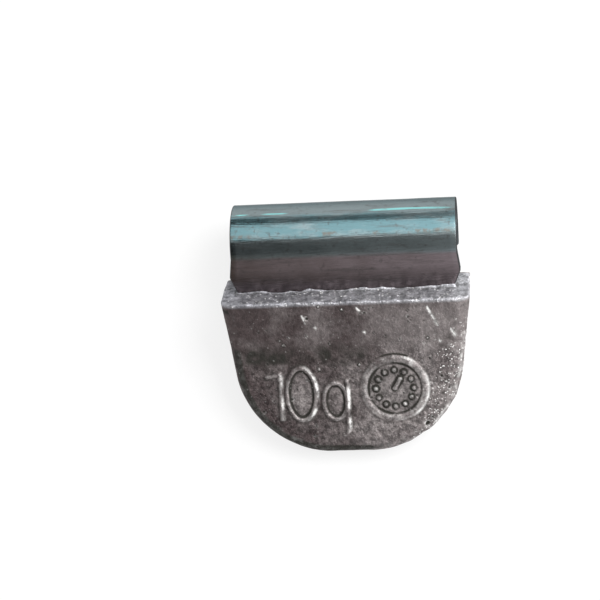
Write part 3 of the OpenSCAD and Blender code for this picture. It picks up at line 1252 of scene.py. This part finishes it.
@dataclass
class SpringClip:
    """The folded strip: root leg, hooked bend and free tail, swept by Geometry Nodes."""

    sizes: WeightSizes
    lay: Lay
    steps: int = 220
    edge_r: float = 0.09
    corner_steps: int = 5
    across_steps: int = 40
    bow: float = 0.05

    @property
    def leg_l(self) -> float:
        """Straight length from the root's foot to the bend."""
        return self.sizes.root_l + self.sizes.clip_rise

    @property
    def turn_r(self) -> float:
        """Radius of the bend along the middle of the sheet."""
        return self.sizes.bend_r + self.sizes.sheet_t / 2

    @property
    def full_turn(self) -> float:
        """Whole turn of the bend, in radians."""
        return math.radians(180.0 + self.sizes.grip_lean)

    @property
    def bend_l(self) -> float:
        """Length of the bend along the middle of the sheet."""
        return self.turn_r * self.full_turn

    @property
    def total_l(self) -> float:
        """Whole length of the strip along the middle of the sheet."""
        return self.leg_l + self.bend_l + self.sizes.tail_l

    def centre_line(self, build: NodeBuilder, length: Any) -> tuple[Any, Any]:
        """Writes the strip's side view as depth and height for a length along it.

        Args:
            build: builder of the Geometry Nodes tree.
            length: distance from the root's foot.

        Returns:
            Sockets of the depth and of the height.
        """
        turn = build.math("DIVIDE", build.minus(length, self.leg_l), self.turn_r)
        turn = build.math("MINIMUM", build.larger(turn, 0.0), self.full_turn)
        last = build.larger(build.minus(length, self.leg_l + self.bend_l), 0.0)
        depth = build.math("MULTIPLY_ADD", build.math("COSINE", turn), -self.turn_r, self.sizes.bend_y)
        depth = build.math("MULTIPLY_ADD", last, math.sin(self.full_turn), depth)
        straight = build.minus(build.math("MINIMUM", length, self.leg_l), self.sizes.root_l)
        height = build.math("MULTIPLY_ADD", build.math("SINE", turn), self.turn_r, straight)
        height = build.math("MULTIPLY_ADD", last, math.cos(self.full_turn), height)
        return depth, height

    def half_width(self, build: NodeBuilder, length: Any) -> Any:
        """Writes the blank's half width for a length along it.

        Args:
            build: builder of the Geometry Nodes tree.
            length: distance from the root's foot.

        Returns:
            Socket of the half width, over root, shoulders, taper and cropped tail.
        """
        sizes = self.sizes
        half_w, shoulder = sizes.clip_w / 2, sizes.root_l + sizes.shoulder_h
        width = build.ramp(length, sizes.root_l, shoulder, half_w - sizes.shoulder_w, half_w, "LINEAR")
        inset = build.ramp(length, shoulder, self.leg_l, 0.0, sizes.crown_inset, "LINEAR")
        cropped = build.larger(build.minus(length, self.total_l - sizes.tail_chamfer), 0.0)
        return build.minus(build.minus(width, inset), cropped)

    def profile(self) -> bpy.types.Object:
        """Draws the sheet's cross-section as a closed curve with round edges.

        Returns:
            The curve, as wide as the clip at its foot, in millimetres.
        """
        half_t, half_w, radius = self.sizes.sheet_t / 2, self.sizes.clip_w / 2, self.edge_r
        across = np.linspace(radius - half_w, half_w - radius, self.across_steps)
        upper, lower = (arc((half_w - radius, side * (half_t - radius)), (radius,) * 2, (start, start - 90),
                            self.corner_steps) for side, start in ((1, 90), (-1, 0)))
        half = [(x, half_t) for x in across] + list(upper[1:] + lower[:-1])
        points = half + [(-x, -y) for x, y in half]
        curve = bpy.data.curves.new("clip_profile", "CURVE")
        curve.dimensions = "3D"
        spline = curve.splines.new("POLY")
        spline.points.add(len(points) - 1)
        for target, (x, y) in zip(spline.points, points):
            target.co = (x, y, 0.0, 1.0)
        spline.use_cyclic_u = True
        return linked("clip_profile", curve)

    def tree(self) -> bpy.types.NodeTree:
        """Builds the Geometry Nodes tree that sweeps the profile along the folded centre line.

        Returns:
            The tree, with inputs for the profile, the steps and the finish.
        """
        build, given = geometry_tree("folded_strip", {
            "Profile": "NodeSocketObject", "Steps": "NodeSocketInt", "Finish": "NodeSocketMaterial"})
        ends = {"Start": (0, 0, 0), "End": (0, 0, self.total_l)}
        line = build.add("GeometryNodeCurvePrimitiveLine", ends, mode="POINTS").outputs[0]
        spacing = {"Curve": line, "Count": given["Steps"]}
        points = build.add("GeometryNodeResampleCurve", spacing, mode="COUNT")
        length = build.parts(build.add("GeometryNodeInputPosition").outputs[0])[2]
        held = build.stored(points.outputs[0], "along", length)
        depth, height = self.centre_line(build, length)
        bent = build.vector(y=depth, z=height)
        placed = build.add("GeometryNodeSetPosition", {"Geometry": held, "Position": bent})
        untwisted = {"Curve": placed.outputs[0]}
        upright = build.add("GeometryNodeSetCurveNormal", untwisted, mode="MINIMUM_TWIST")
        section = build.add("GeometryNodeObjectInfo", {"Object": given["Profile"]}).outputs["Geometry"]
        swept = build.add("GeometryNodeCurveToMesh", {
            "Curve": upright.outputs[0], "Profile Curve": section, "Fill Caps": True})
        along = build.held("along")
        x, y, z = build.parts(build.add("GeometryNodeInputPosition").outputs[0])
        half_w = self.sizes.clip_w / 2
        share = build.math("DIVIDE", self.half_width(build, along), half_w)
        reach = build.math("DIVIDE", build.math("ABSOLUTE", x), half_w)
        kept = build.stored(swept.outputs[0], "reach", reach)
        ripple = build.noise(build.vector(x, along), 0.35, 2.0, 0.5)
        ripple = build.times(build.minus(ripple, 0.5), self.bow)
        wide = build.vector(build.times(x, share), build.plus(y, ripple), build.plus(z, ripple))
        shaped = build.add("GeometryNodeSetPosition", {"Geometry": kept, "Position": wide})
        real = build.add("GeometryNodeRealizeInstances", {"Geometry": shaped.outputs[0]})
        return build.dressed(real.outputs[0], given["Finish"])

    def mesh(self, finish: bpy.types.Material) -> bpy.types.Object:
        """Sweeps the strip and lays it in the frame as a plain mesh.

        Args:
            finish: material of the clip.

        Returns:
            The object, with its place in its vertices.
        """
        section = self.profile()
        swept = apply_nodes(self.tree(), {"Profile": section, "Steps": self.steps, "Finish": finish})
        bpy.data.objects.remove(section)
        points = np.empty(len(swept.vertices) * 3)
        swept.vertices.foreach_get("co", points)
        swept.vertices.foreach_set("co", self.lay.to_frame(points.reshape(-1, 3)).ravel())
        swept.update()
        swept.name = "clip_visual"
        return linked("clip_visual", swept)


def apply_nodes(tree: bpy.types.NodeTree, inputs: dict[str, Any]) -> bpy.types.Mesh:
    """Runs a Geometry Nodes tree and returns its result as a plain mesh.

    Args:
        tree: the tree.
        inputs: values of the tree's inputs by name.

    Returns:
        The new mesh.
    """
    holder = linked(tree.name, bpy.data.meshes.new(tree.name))
    modifier = holder.modifiers.new(tree.name, "NODES")
    modifier.node_group = tree
    for item in tree.interface.items_tree:
        if item.item_type == "SOCKET" and item.in_out == "INPUT" and item.name in inputs:
            modifier[item.identifier] = inputs[item.name]
    holder.update_tag()
    depsgraph = bpy.context.evaluated_depsgraph_get()
    depsgraph.update()
    result = bpy.data.meshes.new_from_object(holder.evaluated_get(depsgraph), depsgraph=depsgraph)
    bpy.data.objects.remove(holder)
    return result


@dataclass(frozen=True)
class Softbox:
    """One large soft area light, placed by its direction from the weight."""

    name: str
    azimuth: float
    elevation: float
    reach: float
    size: tuple[float, float]
    watts: float
    colour: tuple[float, float, float] = (1.0, 1.0, 1.0)

    def add(self) -> bpy.types.Object:
        """Adds the light, aimed at the weight."""
        data = bpy.data.lights.new(self.name, "AREA")
        data.shape = "RECTANGLE"
        data.size, data.size_y = self.size
        data.energy = self.watts
        data.color = self.colour
        turn, lift = math.radians(self.azimuth), math.radians(self.elevation)
        way = Vector((math.cos(lift) * math.cos(turn), math.cos(lift) * math.sin(turn), math.sin(lift)))
        lamp = linked(self.name, data)
        lamp.location = way * self.reach
        lamp.rotation_euler = way.to_track_quat("Z", "Y").to_euler()
        return lamp


@dataclass(frozen=True)
class Viewpoint:
    """The photograph's close camera, almost straight above the weight."""

    aim: tuple[float, float, float] = (-0.00355, 0.00192, 0.0045)
    elevation: float = 83.9
    swing: float = 6.5
    roll: float = -1.92
    distance: float = 0.14
    across: float = 0.04595
    sensor: float = 36.0

    def add(self) -> bpy.types.Object:
        """Adds the camera and makes it the scene's own."""
        data = bpy.data.cameras.new("photo_camera")
        data.sensor_width = self.sensor
        data.lens = self.sensor * self.distance / self.across
        data.clip_start, data.clip_end = 0.005, 20.0
        low, swing = math.radians(90.0 - self.elevation), math.radians(self.swing)
        way = Vector((math.sin(swing), -math.sin(low), math.cos(swing) * math.cos(low))).normalized()
        camera = linked("photo_camera", data)
        camera.location = Vector(self.aim) + way * self.distance
        roll = math.radians(self.roll)
        right = Vector((math.cos(roll), math.sin(roll), 0.0))
        right = (right - way * right.dot(way)).normalized()
        camera.rotation_euler = Matrix((right, way.cross(right), way)).transposed().to_euler()
        bpy.context.scene.camera = camera
        return camera


@dataclass
class Studio:
    """White table, soft lights, the room that the metal mirrors, and the camera."""

    lights: tuple[Softbox, ...] = (
        Softbox("back_softbox", 95.0, 60.5, 0.75, (0.66, 0.63), 1.4),
        Softbox("key_softbox", 28.0, 50.0, 0.75, (0.42, 0.42), 5.0),
        Softbox("left_softbox", 170.0, 35.0, 0.75, (0.5, 0.4), 0.4),
    )
    view: Viewpoint = field(default_factory=Viewpoint)
    floor_half: float = 3.0
    floor_tone: float = 0.9
    floor_seen: float = 0.2
    floor_glow: float = 0.8
    overhead: Colour = (0.36, 0.36, 0.36, 1.0)
    overhead_left: Colour = (0.02, 0.023, 0.023, 1.0)
    in_front: Colour = (0.62, 0.62, 0.65, 1.0)
    front_left: Colour = (0.17, 0.155, 0.135, 1.0)
    to_the_right: Colour = (0.75, 0.75, 0.75, 1.0)
    horizon: tuple[float, float] = (0.2, 0.34)

    def floor(self) -> bpy.types.Object:
        """Lays the plain white table under the weight; seen directly it is paper white."""
        half = self.floor_half
        corners = np.array([[-half, -half, 0.0], [half, -half, 0.0], [half, half, 0.0], [-half, half, 0.0]])
        made = mesh_object("table", corners, np.array([[0, 1, 2, 3]]))
        finish = bpy.data.materials.new("white_table")
        build = cleared(finish)
        path = build.add("ShaderNodeLightPath").outputs
        seen = build.plus(path["Is Camera Ray"], path["Is Glossy Ray"])
        seen = build.plus(seen, path["Is Transmission Ray"], clamp=True)
        tone = build.mix(seen, (self.floor_tone,) * 3 + (1.0,), (self.floor_seen,) * 3 + (1.0,))
        build.surface({"Base Color": tone, "Roughness": 0.9, "Emission Color": WHITE,
                       "Emission Strength": build.times(seen, self.floor_glow)})
        made.data.materials.append(finish)
        return made

    def surroundings(self) -> None:
        """Sets the room: darker on the left, overhead and in front, and white along the horizon."""
        world = bpy.data.worlds.new("room")
        build = cleared(world)
        side, back, up = build.parts(build.add("ShaderNodeTexCoord").outputs["Generated"])
        front = build.times(build.ramp(back, -0.35, -0.7), build.ramp(up, 0.85, 0.6))
        leaning = build.ramp(side, -0.17, 0.0)
        above = build.mix(leaning, self.overhead_left, self.overhead)
        room = build.mix(front, above, build.mix(leaning, self.front_left, self.in_front))
        room = build.mix(build.ramp(side, 0.25, 0.8), room, self.to_the_right)
        room = build.mix(build.ramp(up, self.horizon[1], self.horizon[0]), room, WHITE)
        glow = build.add("ShaderNodeBackground", {"Color": room, "Strength": 1.0})
        build.add("ShaderNodeOutputWorld", {"Surface": glow.outputs[0]})
        bpy.context.scene.world = world

    def build(self) -> None:
        """Builds the whole studio and shows colours as they are written."""
        bpy.context.scene.view_settings.view_transform = "Standard"
        self.floor()
        self.surroundings()
        for light in self.lights:
            light.add()
        self.view.add()


def main() -> None:
    """Builds the weight and its studio, and reports the pieces."""
    logging.basicConfig(level=logging.INFO, format="%(name)s: %(message)s")
    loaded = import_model()
    sizes = WeightSizes()
    lay = Lay(sizes, loaded["record"])
    effects = Effects()
    casting, lead = CastBody(sizes, lay), LeadFinish().make(effects)
    body = casting.mesh()
    body.data.materials.append(lead)
    crumbs = casting.crumbs(body, lead)
    clip = SpringClip(sizes, lay).mesh(PassivateFinish().make(effects))
    for made, node, slot in ((body, "cast_body", "cast_lead_alloy"), (clip, "clip", "passivated_steel")):
        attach(made, ROOT_BODY)
        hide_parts(node)
        LOG.info("%s: %d faces", made.name, len(made.data.polygons))
    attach(crumbs, ROOT_BODY)
    LOG.info("%s: %d faces", crumbs.name, len(crumbs.data.polygons))
    Studio().build()


if __name__ == "__main__":
    main()
